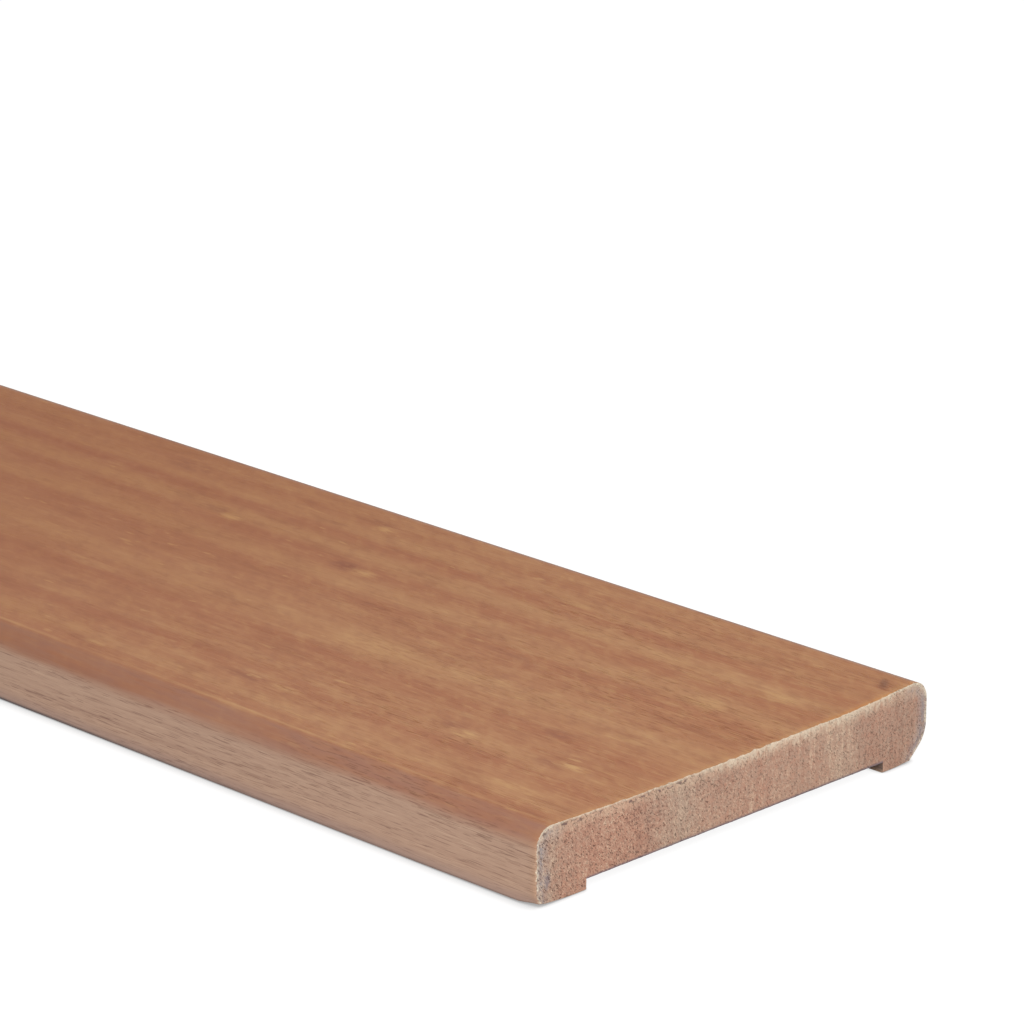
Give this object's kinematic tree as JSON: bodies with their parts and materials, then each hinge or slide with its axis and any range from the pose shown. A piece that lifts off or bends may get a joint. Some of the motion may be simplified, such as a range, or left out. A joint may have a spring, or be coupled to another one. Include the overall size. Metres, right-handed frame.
{
  "type": "architrave",
  "caption": "Straight length of flat wooden architrave with a slightly hollow face, rounded face arrises, a shallow recess along its back and a bevelled outer back edge.",
  "frame": {"origin": "on the back plane that the feet rest on, at the middle of the length and of the width", "axes": "+X along the grain towards the sawn end that the picture shows, +Y across the width from the inner edge to the bevelled outer edge, +Z out of the show face"},
  "size_m": [2.2, 0.07, 0.0105],
  "materials": {
    "lacquered_hardwood": "satin clear lacquer on the face and edges, bare saw-cut ends, red-brown ribbon-grained hardwood"
  },
  "bodies": {
    "root": {"architrave": "lacquered_hardwood"}
  },
  "joints": []
}
